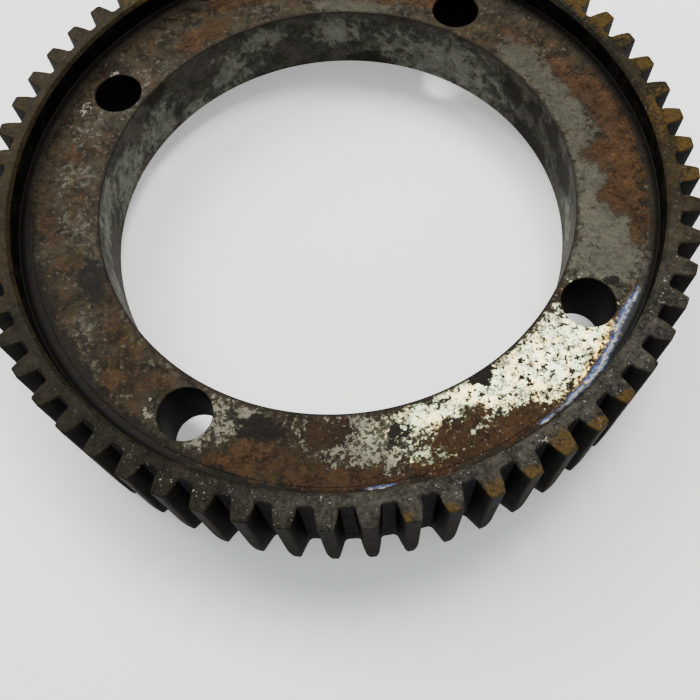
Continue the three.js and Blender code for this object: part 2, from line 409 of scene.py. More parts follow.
    def set(self, **values):
        """Sets the shader's sockets to values or other nodes' sockets, and gives the material."""
        for key, value in values.items():
            socket = self.shader.inputs[self.SOCKETS[key]]
            if isinstance(value, bpy.types.NodeSocket):
                self.tree.links.new(value, socket)
            else:
                socket.default_value = as_colour(value) if key == "colour" else value
        return self.material


def as_colour(value):
    return (*value, 1.0) if isinstance(value, tuple) and len(value) == 3 else value


# Where the surfaces are rusted, rubbed bare or wet with oil. Each spot is (degrees round the axis, radius,
# half length round the ring, half width). On the bore's wall, the second number is a height.
RUST = [
    (0, 105.5, 34, 6.5), (12, 101, 14, 5), (352, 98.5, 7, 9), (346, 104, 16, 7.5), (341, 101, 7, 8),
    (335, 107, 10, 4), (283, 107, 21, 5.5), (276, 101.5, 8, 6), (291, 109, 10, 3.5),
    (272, 107, 11, 5), (280.5, 98, 5, 4), (243, 101, 14, 5.5), (254, 107, 18, 5.5),
    (237, 108, 10, 3.2), (253, 92.5, 11, 5), (262, 110, 9, 3), (60, 99, 28, 8), (95, 104, 20, 6),
    (110, 93, 12, 6),
]
RED_RUST = [(278, 105, 28, 9)]
FAINT_RUST = [
    (210, 98, 13, 12), (181, 97, 9, 8), (191, 104.5, 9, 6), (163.5, 107, 7, 6), (171, 103, 10, 6),
    (165, 94.5, 10, 5), (202, 92, 9, 5), (217, 93, 9, 5), (244, 95, 14, 7), (153, 97, 6, 9),
    (30, 97, 16, 9),
]
BARE = [
    (342, 91.5, 46, 7), (328, 98, 19, 13), (8, 91.5, 28, 7), (24, 92, 12, 8), (70, 90, 18, 6),
    (262, 95, 14, 8),
]
FAINT_BARE = [
    (134, 92, 20, 7), (148, 99, 17, 9), (158, 97, 14, 9), (172, 93, 12, 8), (183, 91, 14, 6),
    (197, 101, 12, 6), (205, 105, 9, 3), (232, 96, 7, 9), (229, 104, 9, 4), (238, 90, 12, 5),
    (246, 96, 14, 8), (214, 89, 12, 3),
]
BRIGHT = [
    (301, 98, 30, 13), (286, 92, 24, 9), (309, 102, 12, 9), (275, 93, 17, 8), (272, 104.5, 9, 4.5),
]
FAINT_BRIGHT = [
    (229, 103, 9, 4), (233, 97, 6, 8), (229, 90, 6, 5), (237, 90, 8, 4), (256, 93, 22, 10),
    (261, 102, 17, 11), (281, 104, 24, 8), (273.5, 105.5, 5, 3.2), (219, 103.5, 2.4, 3),
    (218, 97.5, 1.6, 2), (141.5, 104.5, 3, 2), (131, 104.5, 4, 2),
]
GRIME = [
    (196, 111.5, 52, 4.6), (222, 111, 20, 3.6), (176, 112, 20, 3.4), (288, 87.5, 4.6, 2.6),
    (240, 93.5, 9, 4), (267, 94.5, 3.6, 1.5), (265.2, 97.5, 2.6, 1.6), (321, 102.6, 2.2, 2.6),
    (317.5, 106.6, 6, 1.2), (187, 91, 9, 4), (246, 111.5, 30, 1.6),
]
OIL_FILM = [(307, 110.4, 22, 4.8), (317, 110.0, 9, 3.4), (262, 110.4, 5, 0.5), (291.5, 110.8, 3, 0.9)]
# The film's coloured bands start near FILM_START, less a ripple of about 3, and run outward over FILM_WIDTH.
# Round FILM_DIP they lie further in.
FILM_DIP = [(315, 110, 10, 200)]
FILM_START = 110.2
FILM_WIDTH = 6.0
WALL_BARE = [
    (166, 30, 18, 8), (150, 20, 14, 12), (133, 20, 12, 10), (106, 20, 11, 10), (96, 30, 10, 6),
    (44, 20, 32, 14), (186, 26, 9, 9), (340, 22, 14, 6), (75, 28, 12, 8), (120, 14, 8, 4),
]
WALL_OIL = [
    (21, 29, 7, 6), (12, 30, 5, 4), (2, 31, 6, 7), (352, 26, 9, 7), (130, 35, 7, 3),
    (10, 15, 14, 6), (66, 13, 9, 4),
]


def worn_top(name, seal):
    """The rings' upper side: brown oxide, rust, rubbed steel and a bright, pitted, oily stretch.

    The dirt carries on over the seal. Towards its outer edge, by the outer ring's wall, the seal gets painted
    shade.
    """
    s = Surface(name)
    polar = s.polar()
    radius = s.exact_polar()[1]
    broad = s.noise(15, 5, 0.6, shift=3)
    cloud = s.noise(5, 7, 0.68, shift=11, warp=0.4)
    grain = s.noise(1.2, 6, 0.72, shift=29)
    fine = s.noise(0.8, 4, 0.6, shift=47)
    mottle = s.math("MULTIPLY_ADD", cloud, 0.5, s.times(grain, 0.5))
    speckle = s.noise(2.6, 8, 0.72, shift=37, warp=0.3)
    smooth = s.math("MULTIPLY_ADD", cloud, 0.72, s.times(grain, 0.28))

    oxide = s.mix(s.step(smooth, 0.37, 0.63), (0.0062, 0.0044, 0.0023), (0.041, 0.0280, 0.0140))
    olive = s.mix(s.step(smooth, 0.37, 0.63), (0.0082, 0.0066, 0.0038), (0.039, 0.0325, 0.0195))
    oxide = s.mix(s.step(broad, 0.44, 0.60), oxide, olive)
    flecks = s.scatter(0.26, s.noise(1.8, 6, 0.66, shift=101), edge=0.06)
    oxide = s.mix(s.times(flecks, 0.7), oxide, (0.095, 0.084, 0.055))

    bare_area = s.patches(polar, BARE, 0.7)
    bare_area = s.math("MAXIMUM", bare_area, s.times(s.patches(polar, FAINT_BARE, 0.9), 0.55))
    bare_mask = s.scatter(bare_area, speckle, edge=0.06)
    bare = s.mix(s.step(mottle, 0.36, 0.64), (0.030, 0.029, 0.0195), (0.064, 0.062, 0.044))
    colour = s.mix(bare_mask, oxide, bare)

    faint_rust = s.patches(polar, FAINT_RUST, 0.95)
    rust_area = s.math("MAXIMUM", s.patches(polar, RUST, 0.7), s.times(faint_rust, 0.6))
    rust_mask = s.scatter(rust_area, s.math("MULTIPLY_ADD", cloud, 0.45, s.times(grain, 0.55)), edge=0.07)
    near_rust = s.patches(polar, RED_RUST, 0.9)
    rust_light = s.mix(near_rust, (0.074, 0.0385, 0.0175), (0.094, 0.0400, 0.0140))
    rust = s.mix(s.step(mottle, 0.35, 0.65), (0.014, 0.0066, 0.0030), rust_light)
    rust = s.mix(s.times(s.step(fine, 0.52, 0.68), 0.36), rust, (0.135, 0.070, 0.030))
    rust = s.mix(s.times(s.step(fine, 0.46, 0.34), 0.36), rust, (0.010, 0.0055, 0.0030))
    stained = s.step(s.noise(11, 4, 0.6, shift=59), 0.56, 0.40)
    rust = s.mix(s.times(stained, 0.45), rust, (0.020, 0.0125, 0.0070))
    colour = s.mix(s.times(rust_mask, s.blend(faint_rust, 0.86, 0.62)), colour, rust)
    specks = s.times(s.step(s.noise(1.5, 6, 0.70, shift=113), 0.60, 0.65), near_rust)
    colour = s.mix(s.times(specks, 0.85), colour, (0.30, 0.265, 0.185))

    film_mask = s.patches(s.polar((9, 0.8), (2.2, 0.4)), OIL_FILM, 0.5)
    dip = s.patches(s.exact_polar(), FILM_DIP, 0.95)
    ripple = s.times(s.noise(1.6, 6, 0.7, shift=93), 3.4)
    spread = s.math("MULTIPLY_ADD", s.noise(8, 4, 0.6, shift=90), 3.0, ripple)
    across = s.math("ADD", radius, s.math("MULTIPLY_ADD", dip, 2.2, spread))

    brightest = s.patches(polar, BRIGHT, 0.75)
    bright_area = s.math("MAXIMUM", brightest, s.times(s.patches(polar, FAINT_BRIGHT, 0.9), 0.76))
    bright_field = s.math("MULTIPLY_ADD", speckle, 0.6, s.times(s.noise(1.2, 6, 0.72, shift=7), 0.4))
    rust_free = s.math("SUBTRACT", bright_area, s.times(rust_mask, 0.36))
    bright_mask = s.scatter(rust_free, bright_field, 0.30, 0.03)
    pits = s.step(s.noise(2.0, 5, 0.60, shift=79), 0.39, 0.46)
    grime_mask = s.scatter(s.patches(polar, GRIME, 0.8), cloud, reach=0.42, edge=0.06)
    bore_edge = s.step(s.math("MULTIPLY_ADD", grain, 1.6, radius), BORE_R + 2.4, BORE_R + 1.2)
    clean = s.math("SUBTRACT", 1.0, s.math("MAXIMUM", grime_mask, bore_edge))
    bright_mask = s.times(bright_mask, pits, clean)
    colour = s.mix(s.times(bright_area, 0.6), colour, (0.013, 0.0115, 0.0080))
    tint = s.mix(s.step(s.noise(6, 3, 0.6, shift=71), 0.40, 0.60), (0.54, 0.45, 0.21), (0.37, 0.44, 0.26))
    tint = s.mix(s.step(s.noise(2.8, 8, 0.74, shift=73), 0.38, 0.54), (0.042, 0.037, 0.025), tint)
    tint = s.mix(brightest, (0.115, 0.107, 0.074), tint)
    golden = s.times(film_mask, s.step(across, 109.8, 111.6))
    tint = s.mix(golden, tint, (0.46, 0.33, 0.085))
    colour = s.mix(bright_mask, colour, tint)

    colour = s.mix(s.times(bore_edge, 0.7), colour, (0.010, 0.0085, 0.0060))
    colour = s.mix(s.times(grime_mask, 0.85), colour, (0.0048, 0.0042, 0.0028))
    if seal:
        # Painted shade: the seal darkens to near black towards its outer edge, in the corner by the outer
        # ring's wall.
        outward = s.step(s.math("MULTIPLY_ADD", cloud, 2.4, radius), 110.2, 114.6)
        colour = s.mix(s.times(outward, 0.92), colour, (0.0034, 0.0032, 0.0026))

    film = s.ramp(
        s.math("MULTIPLY_ADD", across, 1 / FILM_WIDTH, -FILM_START / FILM_WIDTH),
        [
            (0.28, (0.24, 0.170, 0.060, 0.0)),
            (0.38, (0.13, 0.075, 0.028, 0.8)),
            (0.43, (0.040, 0.028, 0.045, 0.9)),
            (0.49, (0.014, 0.028, 0.110, 1.0)),
            (0.57, (0.060, 0.100, 0.230, 1.0)),
            (0.66, (0.330, 0.360, 0.360, 1.0)),
            (0.74, (0.270, 0.270, 0.260, 1.0)),
            (0.82, (0.036, 0.055, 0.120, 0.9)),
            (0.92, (0.008, 0.009, 0.009, 0.9)),
        ],
    )
    breaks = s.step(s.math("MULTIPLY_ADD", film_mask, 0.3, speckle), 0.52, 0.68)
    flakes = s.step(s.noise(1.5, 6, 0.7, shift=97, warp=0.6), 0.40, 0.50)
    film_mask = s.times(film_mask, film.outputs["Alpha"], breaks, s.blend(flakes, 0.25, 1.0))
    colour = s.mix(s.times(film_mask, 0.9), colour, film.outputs["Color"])

    metal = s.blend(bright_mask, s.times(bare_mask, 0.0 if seal else 0.35), s.blend(brightest, 0.35, 0.92))
    metal = s.times(metal, s.math("SUBTRACT", 1.0, s.math("MAXIMUM", grime_mask, film_mask)))
    rough = s.blend(bright_mask, s.blend(bare_mask, 0.66, 0.46), 0.34)
    rough = s.blend(rust_mask, rough, 0.85)
    rough = s.blend(grime_mask, rough, 0.62)
    rough = s.blend(film_mask, s.math("ADD", rough, s.times(s.math("SUBTRACT", fine, 0.5), 0.25)), 0.24)
    height = s.math("MULTIPLY_ADD", grain, 0.6, s.times(fine, 0.4))
    lumps = s.bump(s.math("ADD", cloud, s.times(rust_mask, 0.5)), s.blend(bright_mask, 0.5, 0.2), 0.35)
    normal = s.bump(height, s.blend(rust_mask, 0.3, 0.8), 0.16, lumps)
    return s.set(colour=colour, metal=metal, rough=rough, specular=0.08, normal=normal)


def ring_wall():
    """Bore and underside: the same brown oxide, with grey-green bare patches and black oil."""
    s = Surface("worn_ring_wall")
    angle = s.polar()[0]
    wobble = s.math("MULTIPLY_ADD", s.noise(6, 4, 0.6, shift=19), 10.0, s.math("SUBTRACT", s.z, 5.0))
    place = (angle, wobble)
    cloud = s.noise(6, 6, 0.65, shift=17, warp=0.5)
    grain = s.noise(1.2, 5, 0.7, shift=23)
    speckle = s.noise(4.0, 8, 0.68, shift=27, warp=0.3)
    mottle = s.math("MULTIPLY_ADD", cloud, 0.6, s.times(grain, 0.4))
    oxide = s.mix(s.step(mottle, 0.37, 0.63), (0.012, 0.0112, 0.0082), (0.043, 0.0400, 0.0300))
    bare_mask = s.scatter(s.patches(place, WALL_BARE, 0.9, BORE_R), speckle, reach=0.30, edge=0.09)
    bare = s.mix(s.step(mottle, 0.36, 0.64), (0.050, 0.053, 0.040), (0.118, 0.122, 0.098))
    colour = s.mix(bare_mask, oxide, bare)
    oil_mask = s.scatter(s.patches(place, WALL_OIL, 0.8, BORE_R), speckle, reach=0.40, edge=0.05)
    colour = s.mix(s.times(oil_mask, 0.85), colour, (0.0085, 0.0072, 0.0055))
    rough = s.blend(oil_mask, s.math("MULTIPLY_ADD", grain, 0.3, 0.5), 0.75)
    normal = s.bump(s.math("ADD", grain, s.times(cloud, 0.8)), 0.4, 0.14)
    return s.set(colour=colour, rough=rough, specular=0.05, normal=normal)


def dark_hole():
    """The bolt holes' walls: black with old oil."""
    s = Surface("oiled_hole_wall")
    cloud = s.noise(4, 5, 0.65, shift=8)
    colour = s.mix(s.step(cloud, 0.4, 0.65), (0.0010, 0.0012, 0.0011), (0.0050, 0.0044, 0.0034))
    normal = s.bump(s.noise(0.9, 4, 0.6), 0.3, 0.12)
    return s.set(colour=colour, rough=s.math("MULTIPLY_ADD", cloud, 0.3, 0.45), specular=0.04, normal=normal)


OCHRE = [
    (355, 122, 12, 8), (348, 122, 10, 4), (341, 122, 6, 4), (5, 122.5, 8, 4), (289, 121.5, 6, 5),
    (283, 123, 4, 3), (277, 123, 4, 3), (270.5, 123.5, 4, 2), (295, 123, 5, 3),
    (300.5, 123.5, 4, 2.4), (264, 123.5, 3, 2), (20, 121, 20, 6), (75, 121, 14, 6),
    (110, 120, 20, 7),
]
BROWN_RIM = [(156, 120, 66, 10), (180, 118, 20, 8), (345, 118, 40, 8), (100, 119, 60, 8)]
GREY_RIM = [(290, 118, 66, 8), (262, 118, 30, 6)]
RIM_GLINTS = [(285, 117.5, 75, 5), (240, 119, 40, 5), (315, 119, 25, 5)]


def rim_face():
    """The gear's end faces: dark olive-brown steel with ochre bloom on some teeth and small bright nicks."""
    s = Surface("worn_rim_face")
    polar = s.polar((7, 3), (1.6, 1.2))
    cloud = s.noise(4.5, 6, 0.68, shift=13, warp=0.3)
    grain = s.noise(1.1, 6, 0.72, shift=31)
    fine = s.noise(0.45, 3, 0.6, shift=53)
    mottle = s.math("MULTIPLY_ADD", cloud, 0.5, s.times(grain, 0.5))
    colour = s.mix(s.step(mottle, 0.37, 0.63), (0.0042, 0.0036, 0.0020), (0.0180, 0.0156, 0.0086))
    ochre_mask = s.scatter(s.patches(polar, OCHRE, 0.8), mottle, reach=0.30, edge=0.09)
    brown = s.mix(s.step(mottle, 0.37, 0.63), (0.0095, 0.0064, 0.0020), (0.033, 0.0220, 0.0062))
    colour = s.mix(s.times(s.patches(polar, BROWN_RIM, 0.9), 0.8), colour, brown)
    grey = s.mix(s.step(mottle, 0.37, 0.63), (0.0090, 0.0084, 0.0064), (0.066, 0.061, 0.047))
    colour = s.mix(s.times(s.patches(polar, GREY_RIM, 0.95), 0.75), colour, grey)
    ochre = s.mix(s.step(grain, 0.33, 0.67), (0.034, 0.0205, 0.0046), (0.072, 0.0410, 0.0072))
    colour = s.mix(s.times(ochre_mask, 0.85), colour, ochre)
    nick_area = s.patches(s.exact_polar(), RIM_GLINTS, 0.7)
    nick_field = s.noise(1.5, 5, 0.78, shift=83, warp=0.9)
    nicks = s.times(s.step(nick_field, 0.60, 0.69), s.blend(nick_area, 0.2, 0.95))
    colour = s.mix(nicks, colour, (0.30, 0.30, 0.29))
    normal = s.bump(s.math("MULTIPLY_ADD", fine, 0.5, grain), 0.6, 0.15, s.bump(cloud, 0.5, 0.3))
    rough = s.blend(nicks, s.math("MULTIPLY_ADD", grain, 0.3, 0.42), 0.3)
    return s.set(colour=colour, metal=s.times(nicks, 0.9), rough=rough, specular=0.06, normal=normal)


def tooth_flank():
    """Flanks, lands and root: near-black oil with painted shade, blackest at the root; streaked along the
    axis, browner at the ends.
    """
    s = Surface("oil_and_painted_shade_tooth_flank")
    angle, radius = s.exact_polar()
    stretched = {0: s.times(angle, 120.0), 1: s.times(s.z, 0.16), 2: radius}
    unrolled = s.add("CombineXYZ", stretched).outputs[0]
    streak = s.noise(1.3, 5, 0.65, at=unrolled, shift=7, warp=0.5)
    cloud = s.noise(6, 6, 0.68, shift=19, warp=0.4)
    fine = s.noise(0.6, 4, 0.65, shift=37)
    # Painted shade: the flanks' oily colour is set near black because the flanks face away from the light.
    colour = s.mix(s.step(streak, 0.42, 0.66), (0.0008, 0.0009, 0.0009), (0.0046, 0.0046, 0.0041))
    land = s.times(s.step(radius, 123.4, 125.0), 0.55)
    ends = s.times(s.step(s.z, FACE_WIDTH - 14, FACE_WIDTH), 0.55)
    # Painted shade: the root between the teeth is darkened further, to black.
    root = s.step(radius, ROOT_R + 4.5, ROOT_R + 0.5)
    colour = s.mix(s.times(root, 0.85), colour, (0.0004, 0.0005, 0.0005))
    brown_mask = s.scatter(s.math("MAXIMUM", land, ends), cloud, edge=0.08)
    brown = s.mix(s.step(fine, 0.4, 0.6), (0.0052, 0.0043, 0.0028), (0.018, 0.0142, 0.0086))
    colour = s.mix(s.times(brown_mask, 0.8), colour, brown)
    normal = s.bump(s.math("MULTIPLY_ADD", streak, 1.0, s.times(fine, 0.4)), 0.55, 0.14)
    rough = s.math("MULTIPLY_ADD", cloud, 0.35, 0.38)
    return s.set(colour=colour, rough=rough, specular=0.02, normal=normal)


def recess_wall():
    """The outer ring's inside: oil, with painted shade that makes it near black."""
    s = Surface("oil_and_painted_shade_recess_wall")
    cloud = s.noise(7, 5, 0.65, shift=41, warp=0.5)
    grain = s.noise(1.2, 4, 0.65, shift=43)
    # Painted shade: the oiled wall is set near black, as a wall in shadow.
    colour = s.mix(s.step(cloud, 0.42, 0.68), (0.0022, 0.0026, 0.0025), (0.0105, 0.0100, 0.0085))
    rough = s.math("MULTIPLY_ADD", cloud, 0.35, 0.30)
    return s.set(colour=colour, rough=rough, specular=0.06, normal=s.bump(grain, 0.4, 0.12))


def turned_metal(name, dark, light, size, rough, film, film_amount):
    """Clean machined steel or brass under a thin brown film of grease."""
    s = Surface(name)
    cloud = s.noise(size * 3, 5, 0.6, shift=2)
    grain = s.noise(size * 0.4, 4, 0.6, shift=4)
    colour = s.mix(s.step(cloud, 0.35, 0.65), dark, light)
    smear = s.step(s.noise(size * 2, 5, 0.65, shift=9), 0.50, 0.66)
    colour = s.mix(s.times(smear, film_amount), colour, film)
    roughness = s.math("MULTIPLY_ADD", smear, 0.25, s.math("MULTIPLY_ADD", grain, 0.12, rough - 0.06))
    return s.set(colour=colour, metal=0.95, rough=roughness, normal=s.bump(grain, 0.25, 0.05))


def cage_nylon():
    """Cream nylon with brown smears of grease."""
    s = Surface("greased_cage_nylon")
    cloud = s.noise(4, 5, 0.6, shift=6)
    grain = s.noise(0.7, 4, 0.6, shift=12)
    colour = s.mix(s.step(cloud, 0.35, 0.65), (0.50, 0.44, 0.29), (0.66, 0.61, 0.45))
    grease = s.step(s.noise(6, 5, 0.65, shift=15), 0.52, 0.66)
    colour = s.mix(s.times(grease, 0.7), colour, (0.13, 0.08, 0.035))
    rough = s.math("MULTIPLY_ADD", cloud, 0.2, 0.38)
    return s.set(colour=colour, rough=rough, normal=s.bump(grain, 0.3, 0.08))


FACE = worn_top("worn_ring_face", False)
WALL = ring_wall()
HOLE = dark_hole()
RIM = rim_face()
FLANK = tooth_flank()
RECESS = recess_wall()
SEAL = worn_top("dirt_and_painted_shade_seal_rubber", True)
BALL_STEEL = turned_metal(
    "polished_ball_steel",
    dark=(0.60, 0.61, 0.62),
    light=(0.74, 0.75, 0.76),
    size=2,
    rough=0.14,
    film=(0.10, 0.06, 0.03),
    film_amount=0.35,
)
PLUG_STEEL = turned_metal(
    "turned_plug_steel",
    dark=(0.24, 0.23, 0.21),
    light=(0.40, 0.39, 0.37),
    size=1.5,
    rough=0.38,
    film=(0.06, 0.04, 0.025),
    film_amount=0.7,
)
BRASS = turned_metal(
    "tarnished_brass",
    dark=(0.36, 0.25, 0.10),
    light=(0.56, 0.41, 0.17),
    size=1.5,
    rough=0.32,
    film=(0.06, 0.045, 0.02),
    film_amount=0.6,
)
NYLON = cage_nylon()

# ---- Geared outer ring --------------------------------------------------------------------------


def groove_arc(side, steps=10):
    """The ball groove's points from the lower land to the upper one, on the inner (-1) or outer (1) ring."""
    opening = math.acos(LAND_GAP / GROOVE_R)
    points = []
    for i in range(steps + 1):
        a = -opening + 2 * opening * i / steps
        points.append((BALL_CIRCLE_R + side * GROOVE_R * math.cos(a), RACE_Z + GROOVE_R * math.sin(a), 0))
    return points


def involute(angle):
    """How far an involute has turned where its pressure angle is the given one."""
    return math.tan(angle) - angle


def tooth_half_angle(r):
    """Half the angle that a tooth takes up at radius r."""
    base_r = PITCH_R * math.cos(PRESSURE_ANGLE)
    turn = math.acos(min(1, base_r / r))
    return math.pi / (2 * TEETH) + involute(PRESSURE_ANGLE) - involute(turn)


def gear_outline(rng):
    """The teeth in plan, in millimetres, with rounded roots and slightly uneven, worn tip corners."""
    points = []
    for tooth in range(TEETH):
        centre = TAU * tooth / TEETH
        flank_radii = [ROOT_R, ROOT_R + 2.0, PITCH_R, TIP_R - 1.9, TIP_R - 0.1 * rng.random()]
        corners = []
        for side in (-1, 1):
            radii = flank_radii if side < 0 else flank_radii[::-1]
            tip_rounding = 0.75 + 0.5 * rng.random()
            for r in radii:
                rounding = ROOT_FILLET if r == ROOT_R else tip_rounding if r > TIP_R - 1 else 0
                corners.append((r, centre + side * tooth_half_angle(r), rounding))
        low = centre - math.pi / TEETH
        corners = [(ROOT_R, low, 0), *corners, (ROOT_R, low + TAU / TEETH, 0)]
        flat = [(r * math.cos(a), r * math.sin(a), rounding) for r, a, rounding in corners]
        points += rounded(flat, closed=False)[:-1]
    return points


def worn_end(x, y, wear):
    """A point moved towards its tooth's middle and the axis, most at the tip, for wear from 0 to 1."""
    angle = math.atan2(y, x)
    r = math.hypot(x, y)
    middle = round(angle * TEETH / TAU) * TAU / TEETH
    amount = wear * max(0, r - ROOT_R) / (TIP_R - ROOT_R)
    angle = middle + (angle - middle) * (1 - WORN_NARROWING * amount)
    r -= WORN_DEPTH * amount
    return r * math.cos(angle), r * math.sin(angle)


def outline_normals(points):
    """Each point's outward direction in plan."""
    normals = []
    for i in range(len(points)):
        before, after = Vector(points[i - 1]), Vector(points[(i + 1) % len(points)])
        along = (after - before).normalized()
        normals.append(Vector((along.y, -along.x)))
    return normals


def outer_ring():
    """The gear's outline with a worn lower end; inside it, the seal's and balls' grooves and the flange."""
    rng = random.Random(61)
    outline = gear_outline(rng)
    normals = outline_normals(outline)
    angles = [math.atan2(y, x) for x, y in outline]
    count = len(outline)
    verts = []
    loops = 0

    def gear_loop(inset, z, wear):
        for (x, y), n in zip(outline, normals):
            verts.append((*worn_end(x - n.x * inset, y - n.y * inset, wear), z))

    for k in range(WORN_STEPS + 1):
        a = math.pi / 2 * k / WORN_STEPS
        left = 1 - math.sin(a)
        gear_loop(WORN_INSET * left, WORN_HEIGHT * (1 - math.cos(a)), left)
        loops += 1
    edge_steps = 3
    for k in range(edge_steps + 1):
        a = math.pi / 2 * k / edge_steps
        gear_loop(GEAR_EDGE * (1 - math.cos(a)), FACE_WIDTH - GEAR_EDGE * (1 - math.sin(a)), 0)
        loops += 1

    start_r = ROOT_R - 0.9
    land_r = BALL_CIRCLE_R + LAND_GAP
    low, high, depth = SEAL_GROOVE
    inside = [
        (start_r, FACE_WIDTH, 0),
        (WALL_R + WALL_CHAMFER, FACE_WIDTH, 0.35),
        (WALL_R, FACE_WIDTH - WALL_CHAMFER, 0.5),
        (WALL_R, high, 0.15),
        (WALL_R + depth, high, 0.2),
        (WALL_R + depth, low, 0.2),
        (land_r, low, 0.15),
        *reversed(groove_arc(1)),
        (land_r, FLANGE_TOP, 0.4),
        (FLANGE_R, FLANGE_TOP, 0.3),
        (FLANGE_R, 0, 0.6),
        (start_r, 0, 0),
    ]
    for r, z in rounded(inside, steps=3, closed=False):
        verts.extend((r * math.cos(a), r * math.sin(a), z) for a in angles)
        loops += 1
    faces = []
    for i in range(loops):
        j = (i + 1) % loops
        for k in range(count):
            m = (k + 1) % count
            faces.append((i * count + k, i * count + m, j * count + m, j * count + k))
    ring = mesh_object("geared_outer_ring_fine", verts, faces)

    cutters = []
    for i in range(TAPPED["count"]):
        angle = TAU * (i + 0.5) / TAPPED["count"]
        r, depth = TAPPED["r"], TAPPED["depth"]
        profile = [(0, -1), (r + 1.5, -1), (r, 0.5), (r, depth - 1.3), (0, depth)]
        place = upright_place(TAPPED["circle"], angle)
        cutters.append(spun(f"tapped_{i}", profile, SMALL_FACETS, place))
    combine(ring, cutters)

    materials = [RIM, FLANK, RECESS]

    def pick(face):
        centre = face.calc_center_median() / MM
        r = math.hypot(centre.x, centre.y)
        at_end = not GEAR_EDGE < centre.z < FACE_WIDTH - GEAR_EDGE
        if at_end and abs(face.normal.z) > 0.2 and r > WALL_R + 0.4:
            return materials.index(RIM)
        if r < ROOT_R - 1 and centre.z > FACE_WIDTH - WALL_CHAMFER - 0.1:
            return materials.index(RIM)
        return materials.index(FLANK if r > ROOT_R - 1 else RECESS)

    finish_surface(ring, materials, pick)
    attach(ring, "outer_ring")
    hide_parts("geared_outer_ring")


# ---- Inner ring ---------------------------------------------------------------------------------


def inner_profile():
    land_r = BALL_CIRCLE_R - LAND_GAP
    corners = [
        (BORE_R, RING_HIGH, RING_EDGE),
        (BORE_R, RING_LOW, RING_EDGE),
        (UNDERSIDE_R, RING_LOW, 0.2),
        (UNDERSIDE_R, RING_LOW + UNDERSIDE_STEP, 0.2),
        (land_r, RING_LOW + UNDERSIDE_STEP, 0.5),
        *groove_arc(-1),
        (land_r, RING_HIGH - SHOULDER_DEPTH, 0.2),
        (SHOULDER_R, RING_HIGH - SHOULDER_DEPTH, 0.2),
        (SHOULDER_R, RING_HIGH, 0.12),
    ]
    return rounded(corners, steps=3)


def pin_cutter(name, low):
    """The taper pin's hole, from height low."""
    low_r, high_r = (r + CLEARANCE for r in PIN_HOLE_R)
    profile = [(0, low), (low_r, low), (high_r, PIN_HOLE_TOP), (0, PIN_HOLE_TOP)]
    return spun(name, profile, SMALL_FACETS, upright_place(PIN_CIRCLE_R, PLUG_ANGLE))


def inner_ring():
    """The ring with its four bolt holes, and the plug's, the pin's and the grease nipples' holes."""
    ring = turned("inner_ring_fine", inner_profile())
    cutters = []
    flare, over = 0.5, 1.0
    for i, angle in enumerate(BOLT_ANGLES):
        profile = [
            (0, RING_LOW - over),
            (BOLT_HOLE_R + flare + over, RING_LOW - over),
            (BOLT_HOLE_R, RING_LOW + flare),
            (BOLT_HOLE_R, RING_HIGH - flare),
            (BOLT_HOLE_R + 0.3 * flare, RING_HIGH - 0.35 * flare),
            (BOLT_HOLE_R + flare + over, RING_HIGH + over),
            (0, RING_HIGH + over),
        ]
        cutters.append(spun(f"bolt_hole_{i}", profile, 72, upright_place(BOLT_CIRCLE_R, angle)))
    start, end = BORE_R - PAST, BALL_CIRCLE_R
    r = PLUG_R + CLEARANCE
    profile = [(0, start), (r + 2.2, start), (r, BORE_R + 0.3), (r, end), (0, end)]
    cutters.append(spun("plug_hole", profile, HOLE_FACETS, radial_place(PLUG_ANGLE, RACE_Z)))
    cutters.append(pin_cutter("pin_hole", RING_LOW - 1))
    seat_end = BORE_R + NIPPLE_SEAT["depth"]
    thread_end = BORE_R + NIPPLE_THREAD["depth"]
    for side in (-1, 1):
        profile = [
            (0, start),
            (NIPPLE_SEAT["r"], start),
            (NIPPLE_SEAT["r"], seat_end),
            (NIPPLE_THREAD["r"], seat_end),
            (NIPPLE_THREAD["r"], thread_end),
            (GREASE_DUCT_R, thread_end + NIPPLE_THREAD["cone"]),
            (GREASE_DUCT_R, end),
            (0, end),
        ]
        place = radial_place(PLUG_ANGLE + side * NIPPLE_OFFSET, RACE_Z)
        cutters.append(spun(f"nipple_seat_{side}", profile, HOLE_FACETS, place))
    combine(ring, cutters)

    materials = [FACE, WALL, HOLE]

    def pick(face):
        centre = face.calc_center_median() / MM
        if centre.z > RING_HIGH - 0.8 and face.normal.z > 0.3:
            return materials.index(FACE)
        for angle in BOLT_ANGLES:
            x = centre.x - BOLT_CIRCLE_R * math.cos(angle)
            y = centre.y - BOLT_CIRCLE_R * math.sin(angle)
            if math.hypot(x, y) < BOLT_HOLE_R + 0.3 and abs(face.normal.z) < 0.8:
                return materials.index(HOLE)
        return materials.index(WALL)

    finish_surface(ring, materials, pick)
    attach(ring, "inner_ring")
    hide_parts("inner_ring")


def loading_plug():
    """The plug in the balls' loading hole, trimmed to the ring's own section, with an extractor hole."""
    place = radial_place(PLUG_ANGLE, RACE_Z)
    start, end = BORE_R - PAST, BALL_CIRCLE_R
    profile = [(0, start), (PLUG_R, start), (PLUG_R, end), (0, end)]
    plug = spun("loading_plug_fine", profile, HOLE_FACETS, place)
    combine(plug, [turned("plug_envelope", inner_profile())], "INTERSECT")
    extractor = [(0, start), (3.2, start), (1.65, BORE_R + 0.4), (1.65, BORE_R + 4.2), (0, BORE_R + 5)]
    cutters = [
        spun("extractor_hole", extractor, SMALL_FACETS, place),
        pin_cutter("plug_pin_hole", RING_LOW),
    ]
    combine(plug, cutters)
    finish_surface(plug, [PLUG_STEEL])
    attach(plug, "inner_ring")
    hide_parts("loading_plug")


